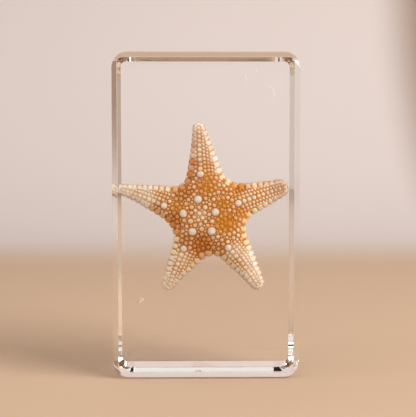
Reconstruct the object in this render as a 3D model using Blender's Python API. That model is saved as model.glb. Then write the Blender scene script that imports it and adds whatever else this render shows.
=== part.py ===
"""A dried starfish sealed in a block of clear resin, as closed solids at real size.

The block stands on its base with the knobby side of the starfish facing -Y.
Lengths in the constants are millimetres; the meshes are built in metres, +Z up,
with the origin at the middle of the base.
"""
import math

import bmesh
import bpy
import numpy as np
from mathutils import Vector
from mathutils.geometry import delaunay_2d_cdt

MM = 0.001

# Clear block
BLOCK_WIDTH = 63.0
BLOCK_DEPTH = 28.0
BLOCK_HEIGHT = 110.0
CORNER_RADIUS = 5.3
CORNER_TIGHTENING = 1.8
SHARPEST_CORNER = 0.3
BEVEL_WIDTH = 1.9
BEVEL_DEPTH = 1.9
RIGHT_BEVEL_SHARE = 0.5
EDGE_EASE_WIDTH = 1.9
EDGE_EASE_DROP = 0.17
CORNER_STEPS = 6
PARTING_GAP = 0.3
RESIN_CREASE_ANGLE = 25

# Pocket round the starfish
POCKET_SIDE_GAP = 0.65
POCKET_FACE_GAP = 0.5
POCKET_OUTLINE_POINTS = 112
POCKET_GRID = 4.0

# Starfish: where the middle of its knob ring lies, and its plane in the block's depth
STAR_X = -1.9
STAR_Z = 54.15
STAR_Y = 0.0

# Body round the disc, in the starfish's own plane (x to the right, z up, from the knob ring)
DISC_CENTRE = (3.1, 0.9)
DISC_RADIUS = 12.5
NOTCH_BLEND = 3.3
ARM_STEPS = 40
OUTLINE_RAYS = 1440
OUTLINE_REACH = 45.0
RAY_HALVINGS = 30

# Each arm: centre line at base, middle and tip with its half widths there, then the line
# of the raised crest, which starts at a ring knob and passes a second knob.
ARMS = {
    "top": {
        "centre": ((2.1, 7.7), (0.9, 21.2), (-0.5, 30.4)),
        "half_widths": (7.7, 4.3, 2.1),
        "ring_knob": (-0.7, 6.2),
        "crest": ((0.1, 14.8), (-0.2, 23.2), (-0.5, 31.0)),
    },
    "right": {
        "centre": ((8.2, 3.8), (18.5, 6.8), (27.1, 9.8)),
        "half_widths": (7.3, 5.0, 3.2),
        "ring_knob": (5.2, 1.9),
        "crest": ((13.0, 4.9), (20.6, 7.6), (28.4, 10.1)),
    },
    "lower_right": {
        "centre": ((7.2, -4.6), (14.0, -14.1), (19.6, -22.6)),
        "half_widths": (7.3, 4.7, 2.5),
        "ring_knob": (3.9, -4.6),
        "crest": ((9.6, -10.3), (15.0, -16.5), (19.8, -23.2)),
    },
    "lower_left": {
        "centre": ((0.1, -5.0), (-6.2, -14.9), (-10.9, -22.9)),
        "half_widths": (7.9, 4.6, 2.3),
        "ring_knob": (-2.6, -4.8),
        "crest": ((-5.6, -10.7), (-8.0, -16.6), (-10.6, -23.4)),
    },
    "left": {
        "centre": ((-2.9, 2.1), (-15.6, 6.6), (-26.7, 9.5)),
        "half_widths": (7.7, 4.4, 1.8),
        "ring_knob": (-5.7, 1.4),
        "crest": ((-12.3, 4.1), (-19.6, 7.1), (-27.4, 9.6)),
    },
}

# Heights above the starfish's plane, towards the front
FRONT_EDGE = 1.2
DISC_CREST = 4.6
DISC_CREST_RADIUS = 14.5
ARM_CRESTS = (4.3, 3.3, 1.9)
CREST_BLEND = 0.8

# Depths below that plane, towards the back
BACK_EDGE = 1.1
BACK_MIDDLE = 1.8
BACK_RISE_WIDTH = 2.0
GROOVE_HALF_WIDTH = 0.9
GROOVE_DEPTH = 0.8
GROOVE_STEP = 2.2
GROOVE_DEPTH_STEP = 0.5
GROOVE_END = 0.93
MOUTH_RADIUS = 1.9
MOUTH_DEPTH = 1.0

# Knobs, beads and plates: radius and height of each kind
RING_KNOB = (1.5, 1.2)
ARM_KNOB = (1.25, 1.0)
CREST_BEAD = (0.86, 0.75)
CREST_BEAD_AT_TIP = (0.6, 0.45)
ROW_BEAD = (0.78, 0.62)
DISC_BEAD = (0.88, 0.7)
SMALL_BEAD = (0.66, 0.5)
EDGE_PLATE = (0.94, 0.6)
BACK_PLATE_HEIGHT = 0.35
CREST_BEAD_PITCH = 1.78
ROW_BEAD_PITCH = 1.72
ROW_SPACING = 1.66
ROW_COUNT = 4
DISC_BEAD_PITCH = 1.9
SMALL_BEAD_PITCH = 0.7
EDGE_PLATE_PITCH = 1.98
EDGE_PLATE_INSET = 0.9
EDGE_PLATE_BULGE = 0.16
KNOB_RADIUS = 1.0

# Vertices on the starfish's two faces; a foot ring lies just past a bead's radius, and a
# vertex keeps this share of its spacing from the outline
BEAD_SHOULDER = 0.6
BEAD_SIDES = 5
KNOB_SHOULDERS = (0.45, 0.85)
KNOB_SIDES = 8
FOOT_SHARE = 1.05
FOOT_SIDES = 8
POINT_SPACING = 0.4
FOOT_SPACING = 0.6
VALLEY_GRID = 0.5
VALLEY_SPACING = 1.0
BACK_GRID = 3.2
RIM_CLEARANCE = 0.6
STARFISH_CREASE_ANGLE = 50

# Colours, linear RGB
STARFISH_COLOUR = (0.60, 0.34, 0.14)
RESIN_COLOUR = (0.93, 0.92, 0.89)


def clear_scene():
    for thing in list(bpy.data.objects):
        bpy.data.objects.remove(thing, do_unlink=True)


def quadratic(values, t):
    """Values at t = 0, 0.5 and 1 joined by one smooth curve."""
    start, middle, end = (np.asarray(v, dtype=float) for v in values)
    pull = 2.0 * middle - 0.5 * (start + end)
    t = np.asarray(t, dtype=float)
    if start.ndim:
        t = t[..., None]
    return (1 - t) ** 2 * start + 2 * t * (1 - t) * pull + t ** 2 * end


def smooth_min(a, b, reach):
    share = np.clip(0.5 + 0.5 * (b - a) / reach, 0.0, 1.0)
    return b * (1 - share) + a * share - reach * share * (1 - share)


def smooth_max(a, b, reach):
    return -smooth_min(-a, -b, reach)


def distances(points, place):
    return np.hypot(points[:, 0] - place[0], points[:, 1] - place[1])


def outline_distance(points):
    """Signed distance to the outline: below zero inside the starfish."""
    result = distances(points, DISC_CENTRE) - DISC_RADIUS
    steps = np.linspace(0.0, 1.0, ARM_STEPS)
    for arm in ARMS.values():
        widths = quadratic(arm["half_widths"], steps)
        nearest = np.full(len(points), np.inf)
        for place, width in zip(quadratic(arm["centre"], steps), widths):
            nearest = np.minimum(nearest, distances(points, place) - width)
        result = smooth_min(result, nearest, NOTCH_BLEND)
    return result


def dome(share):
    """Height of a round cross-section at this share of the way in from its edge."""
    share = np.clip(share, 0.0, 1.0)
    return np.sqrt(1.0 - (1.0 - share) ** 2)


def body_height(points):
    """Front of the body without its knobs: the disc's dome blended into five ridges."""
    share = 1.0 - distances(points, DISC_CENTRE) / DISC_CREST_RADIUS
    height = FRONT_EDGE + (DISC_CREST - FRONT_EDGE) * dome(share)
    steps = np.linspace(0.0, 1.0, ARM_STEPS)
    for arm in ARMS.values():
        widths = quadratic(arm["half_widths"], steps)
        crests = quadratic(ARM_CRESTS, steps)
        ridge = np.full(len(points), FRONT_EDGE)
        for place, width, crest in zip(quadratic(arm["centre"], steps), widths, crests):
            share = 1.0 - distances(points, place) / width
            ridge = np.maximum(ridge, FRONT_EDGE + (crest - FRONT_EDGE) * dome(share))
        height = smooth_max(height, ridge, CREST_BLEND)
    return height


def back_depth(points):
    """Back of the body: nearly flat, with a groove along each arm that runs to the mouth."""
    inside = np.clip(-outline_distance(points) / BACK_RISE_WIDTH, 0.0, 1.0)
    depth = BACK_EDGE + (BACK_MIDDLE - BACK_EDGE) * dome(inside)
    groove = np.zeros(len(points))
    for place in np.vstack(groove_lines(GROOVE_DEPTH_STEP)):
        share = distances(points, place) / GROOVE_HALF_WIDTH
        groove = np.maximum(groove, GROOVE_DEPTH * np.clip(1.0 - share ** 2, 0.0, 1.0))
    share = distances(points, DISC_CENTRE) / MOUTH_RADIUS
    mouth = MOUTH_DEPTH * np.clip(1.0 - share ** 2, 0.0, 1.0)
    return depth - np.maximum(groove, mouth)


def walk(points, pitch):
    """Points at an even pitch along a line through the given ones."""
    points = np.asarray(points, dtype=float)
    lengths = np.hypot(*np.diff(points, axis=0).T)
    travelled = np.concatenate(([0.0], np.cumsum(lengths)))
    count = max(1, round(travelled[-1] / pitch))
    stops = np.linspace(0.0, travelled[-1], count + 1)
    return np.stack([np.interp(stops, travelled, axis) for axis in points.T], axis=1)


def groove_lines(pitch):
    """The five grooves' middle lines, from the mouth to just short of each tip."""
    steps = np.linspace(0.0, GROOVE_END, ARM_STEPS)
    return [
        walk(np.vstack([DISC_CENTRE, quadratic(arm["centre"], steps)]), pitch)
        for arm in ARMS.values()
    ]


def fine_outline(offset):
    """The closed outline at an offset, found along rays from the disc's middle."""
    angles = np.linspace(0.0, 2 * math.pi, OUTLINE_RAYS, endpoint=False)
    rays = np.stack([np.cos(angles), np.sin(angles)], axis=1)
    near = np.zeros(len(rays))
    far = np.full(len(rays), OUTLINE_REACH)
    for _ in range(RAY_HALVINGS):
        middle = 0.5 * (near + far)
        inside = outline_distance(DISC_CENTRE + rays * middle[:, None]) < offset
        near = np.where(inside, middle, near)
        far = np.where(inside, far, middle)
    return DISC_CENTRE + rays * near[:, None]


def evenly_round(ring, count):
    """That many points at an even pitch round a closed ring."""
    closed = np.vstack([ring, ring[:1]])
    length = np.hypot(*np.diff(closed, axis=0).T).sum()
    return walk(closed, length / count)[:count]


def ring_points(x, z, radius, count):
    angles = np.linspace(0.0, 2 * math.pi, count, endpoint=False)
    return [(x + radius * math.cos(a), z + radius * math.sin(a)) for a in angles]


def grid_points(spacing):
    rise = spacing * math.sqrt(3) / 2
    columns = int(OUTLINE_REACH / spacing)
    return [
        (DISC_CENTRE[0] + spacing * (i + 0.5 * (j % 2)), DISC_CENTRE[1] + rise * j)
        for j in range(-columns, columns + 1)
        for i in range(-columns, columns + 1)
    ]


def outward_normals(ring):
    along = np.roll(ring, -1, axis=0) - np.roll(ring, 1, axis=0)
    along /= np.hypot(*along.T)[:, None]
    return np.stack([along[:, 1], -along[:, 0]], axis=1)


class Lumps:
    """Knobs, beads and plates as round swellings, kept from crowding each other."""

    def __init__(self):
        self.rows = []

    def add(self, place, size):
        radius, height = size
        for x, z, other, _ in self.rows:
            if math.hypot(place[0] - x, place[1] - z) < radius + other:
                return
        self.rows.append((place[0], place[1], radius, height))

    def height(self, points, factor=1.0):
        swelling = np.zeros(len(points))
        for x, z, radius, height in self.rows:
            share = 1.0 - (distances(points, (x, z)) / radius) ** 2
            swelling = np.maximum(swelling, factor * height * np.sqrt(np.clip(share, 0.0, 1.0)))
        return swelling


def edge_ring():
    """Outline points, each even one at the middle of an edge plate, each odd one between two."""
    ring = fine_outline(0.0)
    length = np.hypot(*(np.roll(ring, -1, axis=0) - ring).T).sum()
    return evenly_round(ring, 2 * round(length / EDGE_PLATE_PITCH))


def edge_plates():
    """Plates set side by side just inside the outline."""
    ring = edge_ring()
    places = ring - outward_normals(ring) * EDGE_PLATE_INSET
    plates = Lumps()
    for place in places[::2]:
        plates.rows.append((*place, *EDGE_PLATE))
    return plates


def crest_line(arm):
    return quadratic(arm["crest"], np.linspace(0.0, 1.0, ARM_STEPS))


def add_arm_beads(lumps, arm):
    """Crest beads that shrink towards the tip, then the rows of beads beside them."""
    crest = walk(crest_line(arm), CREST_BEAD_PITCH)
    for share, place in zip(np.linspace(0.0, 1.0, len(crest)), crest):
        size = [a + (b - a) * share for a, b in zip(CREST_BEAD, CREST_BEAD_AT_TIP)]
        lumps.add(place, size)
    line = walk(crest_line(arm), ROW_BEAD_PITCH)
    along = np.gradient(line, axis=0)
    along /= np.hypot(*along.T)[:, None]
    across = np.stack([-along[:, 1], along[:, 0]], axis=1)
    for row in range(1, ROW_COUNT + 1):
        for side in (-1, 1):
            places = line + across * side * row * ROW_SPACING
            for place, depth in zip(places, outline_distance(places)):
                if depth < -EDGE_PLATE[0]:
                    lumps.add(place, ROW_BEAD)


def add_packed_beads(lumps, size, pitch):
    """Beads on a triangular grid, wherever the others leave room."""
    places = np.array(grid_points(pitch))
    for place in places[outline_distance(places) < -EDGE_PLATE[0]]:
        lumps.add(place, size)


def front_lumps():
    lumps = Lumps()
    for arm in ARMS.values():
        lumps.add(arm["ring_knob"], RING_KNOB)
        lumps.add(arm["crest"][0], ARM_KNOB)
    lumps.rows += edge_plates().rows
    for arm in ARMS.values():
        add_arm_beads(lumps, arm)
    add_packed_beads(lumps, DISC_BEAD, DISC_BEAD_PITCH)
    add_packed_beads(lumps, SMALL_BEAD, SMALL_BEAD_PITCH)
    return lumps


def spaced(candidates, kept, rim, spacing):
    """Adds to the kept points each candidate inside the rim that stays clear of all others."""
    candidates = np.array(candidates)
    inside = outline_distance(candidates) < -RIM_CLEARANCE * spacing
    for place in candidates[inside]:
        crowd = np.array(kept + rim)
        if np.min(distances(crowd, place)) >= spacing:
            kept.append(tuple(place))
    return kept


def triangulate(ring, inner):
    """Triangles over the ring's inside, counter-clockwise in the starfish's plane."""
    points = [Vector(p) for p in list(map(tuple, ring)) + inner]
    edges = [(i, (i + 1) % len(ring)) for i in range(len(ring))]
    result = delaunay_2d_cdt(points, edges, [], 1, 1e-6)
    if len(result[0]) != len(points):
        raise RuntimeError("the outline crosses itself")
    return [tuple(face) for face in result[2]]


def place_in_block(points, depths):
    """Plane coordinates and depths, in millimetres, to the block's metres."""
    return [
        Vector((STAR_X + x, STAR_Y + y, STAR_Z + z)) * MM
        for (x, z), y in zip(points, depths)
    ]


def two_sided_mesh(name, ring, front_inner, back_inner, front_height, back_height):
    """A closed mesh from a front and a back that share one outline."""
    mesh = bmesh.new()
    rims = []
    for inner, height, side in ((front_inner, front_height, -1), (back_inner, back_height, 1)):
        plane = np.array(list(map(tuple, ring)) + inner)
        depths = side * height(plane)
        verts = [mesh.verts.new(place) for place in place_in_block(plane, depths)]
        for face in triangulate(ring, inner):
            corners = face if side < 0 else face[::-1]
            mesh.faces.new([verts[i] for i in corners])
        rims.append(verts[:len(ring)])
    front_rim, back_rim = rims
    for i in range(len(ring)):
        j = (i + 1) % len(ring)
        mesh.faces.new((front_rim[j], front_rim[i], back_rim[i], back_rim[j]))
    bmesh.ops.triangulate(mesh, faces=[f for f in mesh.faces if len(f.verts) > 3])
    bmesh.ops.recalc_face_normals(mesh, faces=mesh.faces)
    data = bpy.data.meshes.new(name)
    mesh.to_mesh(data)
    mesh.free()
    return data


def add_object(name, data, material=None):
    thing = bpy.data.objects.new(name, data)
    bpy.context.scene.collection.objects.link(thing)
    if material:
        data.materials.append(material)
    return thing


def starfish_material():
    material = bpy.data.materials.new("dried_starfish")
    material.use_nodes = True
    shader = material.node_tree.nodes["Principled BSDF"]
    shader.inputs["Base Color"].default_value = (*STARFISH_COLOUR, 1.0)
    shader.inputs["Roughness"].default_value = 0.6
    shader.inputs["Metallic"].default_value = 0.0
    return material


def resin_material():
    material = bpy.data.materials.new("clear_resin")
    material.use_nodes = True
    shader = material.node_tree.nodes["Principled BSDF"]
    shader.inputs["Base Color"].default_value = (*RESIN_COLOUR, 1.0)
    shader.inputs["Roughness"].default_value = 0.03
    shader.inputs["Metallic"].default_value = 0.0
    shader.inputs["Transmission Weight"].default_value = 1.0
    shader.inputs["IOR"].default_value = 1.5
    return material


def front_points(lumps, rim):
    """Vertices for the front: each lump's top, shoulders and foot, then the valleys."""
    points = [(x, z) for x, z, _, _ in lumps.rows]
    shoulders = []
    feet = []
    for x, z, radius, _ in lumps.rows:
        if radius > KNOB_RADIUS:
            for share in KNOB_SHOULDERS:
                shoulders += ring_points(x, z, radius * share, KNOB_SIDES)
        else:
            shoulders += ring_points(x, z, radius * BEAD_SHOULDER, BEAD_SIDES)
        feet += ring_points(x, z, radius * FOOT_SHARE, FOOT_SIDES)
    points = spaced(shoulders, points, rim, POINT_SPACING)
    feet = np.array(feet)
    low = spaced(feet[lumps.height(feet) == 0.0], [], rim, FOOT_SPACING)
    valleys = np.array(grid_points(VALLEY_GRID))
    valleys = valleys[outline_distance(valleys) < 0.0]
    low = spaced(valleys[lumps.height(valleys) == 0.0], low, rim, VALLEY_SPACING)
    return points + low


def back_points(plates, ring, rim):
    """Vertices for the back: grooves with their banks, edge plates, and a wide grid."""
    points = []
    for line in groove_lines(GROOVE_STEP):
        along = np.gradient(line, axis=0)
        along /= np.hypot(*along.T)[:, None]
        bank = GROOVE_HALF_WIDTH * np.stack([-along[:, 1], along[:, 0]], axis=1)
        spaced(np.vstack([line, line + bank, line - bank]), points, rim, POINT_SPACING)
    inner = ring - outward_normals(ring) * EDGE_PLATE_INSET
    lower = ring - outward_normals(ring) * 2 * EDGE_PLATE_INSET
    spaced(np.vstack([inner, lower[::2]]), points, rim, 2 * POINT_SPACING)
    return spaced(grid_points(BACK_GRID), points, rim, BACK_GRID / 2)


def make_starfish():
    """The starfish, with its knobs, beads and edge plates fused to it."""
    lumps = front_lumps()
    plates = edge_plates()
    ring = edge_ring()
    bulge = np.where(np.arange(len(ring)) % 2 == 0, EDGE_PLATE_BULGE, -EDGE_PLATE_BULGE)
    ring = ring + outward_normals(ring) * bulge[:, None]
    rim = list(map(tuple, ring))

    def front_height(points):
        return body_height(points) + lumps.height(points)

    def back_height(points):
        return back_depth(points) + plates.height(points, BACK_PLATE_HEIGHT / EDGE_PLATE[1])

    front = front_points(lumps, rim)
    back = back_points(plates, ring, rim)
    data = two_sided_mesh("starfish", ring, front, back, front_height, back_height)
    data.shade_smooth()
    data.set_sharp_from_angle(angle=math.radians(STARFISH_CREASE_ANGLE))
    return add_object("starfish", data, starfish_material())


def make_pocket_cutter():
    """The hollow that the starfish lies in: its plain form with a gap all round."""
    ring = evenly_round(fine_outline(POCKET_SIDE_GAP), POCKET_OUTLINE_POINTS)
    inner = spaced(grid_points(POCKET_GRID), [], list(map(tuple, ring)), 0.5 * POCKET_GRID)
    tallest = RING_KNOB[1] + POCKET_FACE_GAP

    def front_height(points):
        return body_height(points) + tallest

    def back_height(points):
        return np.full(len(points), BACK_MIDDLE + BACK_PLATE_HEIGHT + POCKET_FACE_GAP)

    data = two_sided_mesh("pocket_cutter", ring, inner, inner, front_height, back_height)
    cutter = add_object("pocket_cutter", data)
    cutter.hide_render = True
    cutter.display_type = "WIRE"
    return cutter


def rounded_rectangle(inset):
    """Points of the block's outline, drawn in by an inset, and how far each faces right.

    The corner arcs tighten on the way in.
    """
    half_width = BLOCK_WIDTH / 2 - inset
    half_height = BLOCK_HEIGHT / 2 - inset
    radius = max(CORNER_RADIUS - CORNER_TIGHTENING * inset, SHARPEST_CORNER)
    points = []
    for quarter, (sx, sz) in enumerate(((1, 1), (-1, 1), (-1, -1), (1, -1))):
        for step in range(CORNER_STEPS + 1):
            angle = math.radians(90) * (quarter + step / CORNER_STEPS)
            x = sx * (half_width - radius) + radius * math.cos(angle)
            z = sz * (half_height - radius) + radius * math.sin(angle)
            points.append((x, z + BLOCK_HEIGHT / 2, max(math.cos(angle), 0.0)))
    return points


def edge_profile(side):
    """Insets and depths from a face to the side: a flat bevel, after a shallow ease on the back."""
    if side < 0:
        return [(BEVEL_WIDTH, 0.0), (0.0, BEVEL_DEPTH)]
    return [
        (BEVEL_WIDTH + EDGE_EASE_WIDTH, 0.0),
        (BEVEL_WIDTH, EDGE_EASE_DROP),
        (0.0, EDGE_EASE_DROP + BEVEL_DEPTH),
    ]


def make_resin_half(name, side, material, cutter):
    """One half of the block, from its outer face (side -1 is the front) to the parting.

    The front's bevel is shallower along its right edge.
    """
    face_y = side * BLOCK_DEPTH / 2
    parting_y = STAR_Y + side * PARTING_GAP / 2
    right_share = RIGHT_BEVEL_SHARE if side < 0 else 1.0
    mesh = bmesh.new()
    loops = []
    for inset, depth in edge_profile(side):
        loop = []
        for x, z, rightness in rounded_rectangle(inset):
            y = face_y - side * depth * (1.0 - (1.0 - right_share) * rightness)
            loop.append(mesh.verts.new(Vector((x, y, z)) * MM))
        loops.append(loop)
    parting = [Vector((x, parting_y, z)) * MM for x, z, _ in rounded_rectangle(0.0)]
    loops.append([mesh.verts.new(place) for place in parting])
    for outer, inner in zip(loops, loops[1:]):
        for i in range(len(outer)):
            j = (i + 1) % len(outer)
            mesh.faces.new((outer[i], outer[j], inner[j], inner[i]))
    mesh.faces.new(loops[0])
    mesh.faces.new(loops[-1])
    bmesh.ops.recalc_face_normals(mesh, faces=mesh.faces)
    data = bpy.data.meshes.new(name)
    mesh.to_mesh(data)
    mesh.free()
    data.shade_smooth()
    data.set_sharp_from_angle(angle=math.radians(RESIN_CREASE_ANGLE))
    half = add_object(name, data, material)
    cut = half.modifiers.new("pocket", "BOOLEAN")
    cut.operation = "DIFFERENCE"
    cut.object = cutter
    return half


def main():
    clear_scene()
    make_starfish()
    cutter = make_pocket_cutter()
    resin = resin_material()
    make_resin_half("resin_front", -1, resin, cutter)
    make_resin_half("resin_back", 1, resin, cutter)


main()
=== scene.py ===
"""A dried knobby starfish cast in a block of clear resin, dressed for a studio picture.

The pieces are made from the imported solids' own measures: one clear block in place of its two
halves, and the starfish as a skin with knobs, beads, edge plates and an underside.
Lengths in the settings are metres; the shape constants are millimetres, and meshes are metres.
"""
import math

import bmesh
import bpy
import numpy as np
from bpy.props import FloatProperty, IntProperty, PointerProperty, StringProperty
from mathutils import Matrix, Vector
from mathutils.geometry import delaunay_2d_cdt


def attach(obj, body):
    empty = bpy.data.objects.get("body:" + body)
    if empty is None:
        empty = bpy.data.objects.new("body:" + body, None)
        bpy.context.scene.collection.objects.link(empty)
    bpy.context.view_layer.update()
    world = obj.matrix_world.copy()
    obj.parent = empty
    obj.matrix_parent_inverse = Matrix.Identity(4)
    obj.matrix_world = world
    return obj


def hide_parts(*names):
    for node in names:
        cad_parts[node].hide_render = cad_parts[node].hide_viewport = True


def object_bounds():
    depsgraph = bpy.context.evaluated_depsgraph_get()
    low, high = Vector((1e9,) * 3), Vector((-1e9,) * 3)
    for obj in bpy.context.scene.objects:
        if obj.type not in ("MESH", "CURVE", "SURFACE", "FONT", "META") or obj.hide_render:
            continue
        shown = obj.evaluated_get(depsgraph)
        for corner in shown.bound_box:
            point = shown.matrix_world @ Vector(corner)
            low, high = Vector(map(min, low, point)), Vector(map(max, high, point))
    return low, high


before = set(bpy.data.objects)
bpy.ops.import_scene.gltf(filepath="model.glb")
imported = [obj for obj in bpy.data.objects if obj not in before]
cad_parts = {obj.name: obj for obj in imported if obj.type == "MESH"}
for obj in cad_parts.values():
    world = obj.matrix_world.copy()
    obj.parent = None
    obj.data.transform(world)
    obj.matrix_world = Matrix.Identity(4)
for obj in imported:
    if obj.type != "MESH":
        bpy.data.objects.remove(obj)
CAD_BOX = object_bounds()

bl_info = {
    "name": "Starfish in a resin block",
    "version": (1, 0, 0),
    "blender": (4, 5, 0),
    "location": "3D View > Sidebar > Specimen",
    "description": "Makes a dried starfish, the clear block round it and a studio",
    "category": "Add Mesh",
}

MM = 0.001
BODY = "root"

# Clear block, in the same measures as the solids
BLOCK_LOW, BLOCK_HIGH = (Vector(corner) for corner in CAD_BOX)
BLOCK_MIDDLE = (BLOCK_LOW + BLOCK_HIGH) / 2
CORNER_TIGHTENING = 1.8
SHARPEST_CORNER = 0.3
CORNER_STEPS = 16
CREASE_STEPS = 4
RIGHT_BEVEL_SHARE = 0.5

# Starfish: the middle of its knob ring, and its plane in the block's depth
STAR_X = -1.9
STAR_Z = 54.15
STAR_Y = 0.0

# Body in the starfish's own plane (x to the right, z up, from the knob ring)
DISC_CENTRE = (3.1, 0.9)
DISC_RADIUS = 12.5
NOTCH_BLEND = 3.3
ARM_STEPS = 40
OUTLINE_RAYS = 1440
OUTLINE_REACH = 45.0
RAY_HALVINGS = 30

# Each arm: centre line at base, middle and tip with its half widths there, then the line
# of the raised crest, which starts at a ring knob and passes a second knob.
ARMS = {
    "top": {
        "centre": ((2.1, 7.7), (0.9, 21.2), (-0.5, 30.4)),
        "half_widths": (7.7, 4.3, 2.1),
        "ring_knob": (-0.7, 6.2),
        "crest": ((0.1, 14.8), (-0.2, 23.2), (-0.5, 31.0)),
    },
    "right": {
        "centre": ((8.2, 3.8), (18.5, 6.8), (27.1, 9.8)),
        "half_widths": (7.3, 5.0, 3.2),
        "ring_knob": (5.2, 1.9),
        "crest": ((13.0, 4.9), (20.6, 7.6), (28.4, 10.1)),
    },
    "lower_right": {
        "centre": ((7.2, -4.6), (14.0, -14.1), (19.6, -22.6)),
        "half_widths": (7.3, 4.7, 2.5),
        "ring_knob": (3.9, -4.6),
        "crest": ((9.6, -10.3), (15.0, -16.5), (19.8, -23.2)),
    },
    "lower_left": {
        "centre": ((0.1, -5.0), (-6.2, -14.9), (-10.9, -22.9)),
        "half_widths": (7.9, 4.6, 2.3),
        "ring_knob": (-2.6, -4.8),
        "crest": ((-5.6, -10.7), (-8.0, -16.6), (-10.6, -23.4)),
    },
    "left": {
        "centre": ((-2.9, 2.1), (-15.6, 6.6), (-26.7, 9.5)),
        "half_widths": (7.7, 4.4, 1.8),
        "ring_knob": (-5.7, 1.4),
        "crest": ((-12.3, 4.1), (-19.6, 7.1), (-27.4, 9.6)),
    },
}

# Heights of the body above the starfish's plane, and depths behind it
FRONT_EDGE = 1.2
DISC_CREST = 4.6
DISC_CREST_RADIUS = 14.5
ARM_CRESTS = (4.3, 3.3, 1.9)
CREST_BLEND = 0.8
BACK_EDGE = 1.1
BACK_MIDDLE = 1.8
BACK_RISE_WIDTH = 2.0
GROOVE_HALF_WIDTH = 0.9
GROOVE_DEPTH = 0.8
GROOVE_STEP = 0.4
GROOVE_END = 0.93
MOUTH_RADIUS = 1.9
MOUTH_DEPTH = 1.0

# Skin between the beads: its depth and spacing, and how far inside the outline its rim and its
# inner points lie. Then the closest that two points may come, and the step to find a slope.
SKIN_SINK = 0.12
SKIN_SPACING = 0.5
SKIN_RIM = 0.5
SKIN_INNER = 0.8
SKIN_TOLERANCE = 1e-6
SLOPE_STEP = 0.15

# Distances from the disc's middle between which an arm narrows to its tip
TIP_FROM = 12.0
TIP_TO = 30.0

# Knobs and larger lumps of the disc: x, z and radius
RING_KNOB_RADIUS = 1.45
ARM_KNOB_RADIUS = 1.2
DISC_LUMPS = (
    (0.1, 16.7, 0.84),
    (0.2, 18.2, 0.68),
    (-4.8, 4.7, 0.77),
    (-2.9, 3.6, 0.86),
    (6.2, 6.4, 0.77),
    (6.2, 8.6, 0.77),
    (4.1, -1.3, 0.86),
    (5.8, -2.9, 0.68),
    (10.1, -2.2, 0.95),
    (1.7, 3.5, 0.95),
    (-3.3, -1.2, 1.0),
    (0.5, -3.9, 0.86),
    (-7.6, -3.1, 0.86),
    (0.3, -12.8, 1.15),
    (2.2, -12.0, 1.0),
    (-2.1, 7.9, 0.7),
    (1.7, 9.8, 0.77),
    (6.9, -4.8, 0.62),
    (8.6, 1.2, 0.8),
    (11.4, -7.0, 0.7),
)

# Rows of beads on the arms: distance from the crest and radius, at the arm's base
CREST_BEAD_RADIUS = 0.88
CREST_TIP_SHARE = 0.68
ROWS = ((1.62, 0.62), (2.95, 0.56), (4.15, 0.5))
ROW_GAP = 0.12
ROW_STEP = 0.1
ROW_MARGIN = 0.25

# Beads that fill what is left, largest first
FILL_RADII = (0.78, 0.66, 0.56, 0.47, 0.39, 0.31, 0.25)
FILL_GAP = 0.07
FILL_GRID = 0.2
FILL_JITTER = 0.06
FILL_LOOSENESS = 0.12
FILL_SPREAD = (0.9, 1.0)
FILL_OVER_PLATES = 0.3
TIP_BEAD_SHARE = 0.72
EDGE_BAND_AT_NOTCH = 1.75
EDGE_BAND_AT_TIP = 1.05

# Each kind of bead: how finely and how squarely its ball is made, its height as a share of its
# radius, and how deep it sits in the skin. Then how much their sizes vary, and their turn.
BEADS = {
    "starfish_knobs": {"form": (4, 2.3), "tallness": 0.95, "sink": 0.15},
    "starfish_bead_rows": {"form": (3, 2.3), "tallness": 0.85, "sink": 0.1},
    "starfish_small_beads": {"form": (2, 2.3), "tallness": 0.85, "sink": 0.08},
    "starfish_underside": {"form": (2, 2.6), "tallness": 0.6, "sink": 0.05},
}
BEAD_SPREAD = (0.94, 1.04)
BEAD_TURN = (1.0, 0.3, 0.1)

# Plates along the edge, which shorten towards the tips
PLATE_PITCH_AT_NOTCH = 2.3
PLATE_PITCH_AT_TIP = 1.7
UPPER_PLATE = {"inset": 1.1, "sink": 0.42, "lean": 42.0, "reach": 1.3, "thickness": 0.62}
LOWER_PLATE = {"inset": 0.4, "overlap": 0.85, "foot": 1.45, "lean": 98.0, "thickness": 0.55}
PLATE_GAP = 0.13
PLATE_FORM = (4, 3.2)
PLATE_REACH_SPREAD = (0.95, 1.05)
PLATE_THICKNESS_SPREAD = (0.92, 1.08)
STATION_STEP = 0.05
TIP_SHRINK = 0.3
NOTCH_SINK = 0.3
END_REACH = 5.0
END_SHRINK = 0.3

# Underside: beads keep clear of the outline by the rim, and spines of a groove by the foot
BACK_BEAD_RADII = (0.62, 0.52, 0.42, 0.33)
BACK_RIM = 1.0
BACK_RIM_OVERLAP = 0.7
SPINE_FORM = (3, 2.4)
SPINE_SPREAD = (0.85, 1.1)
SPINE_TURN = (0.6, 0.7, 0.2)
SPINE_FOOT = 0.05
SPINE_SKIPPED = 2
SPINE_RADIUS = 0.24
SPINE_LENGTH = 0.75
SPINE_PITCH = 0.85
SPINE_LEAN = 28.0

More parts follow.
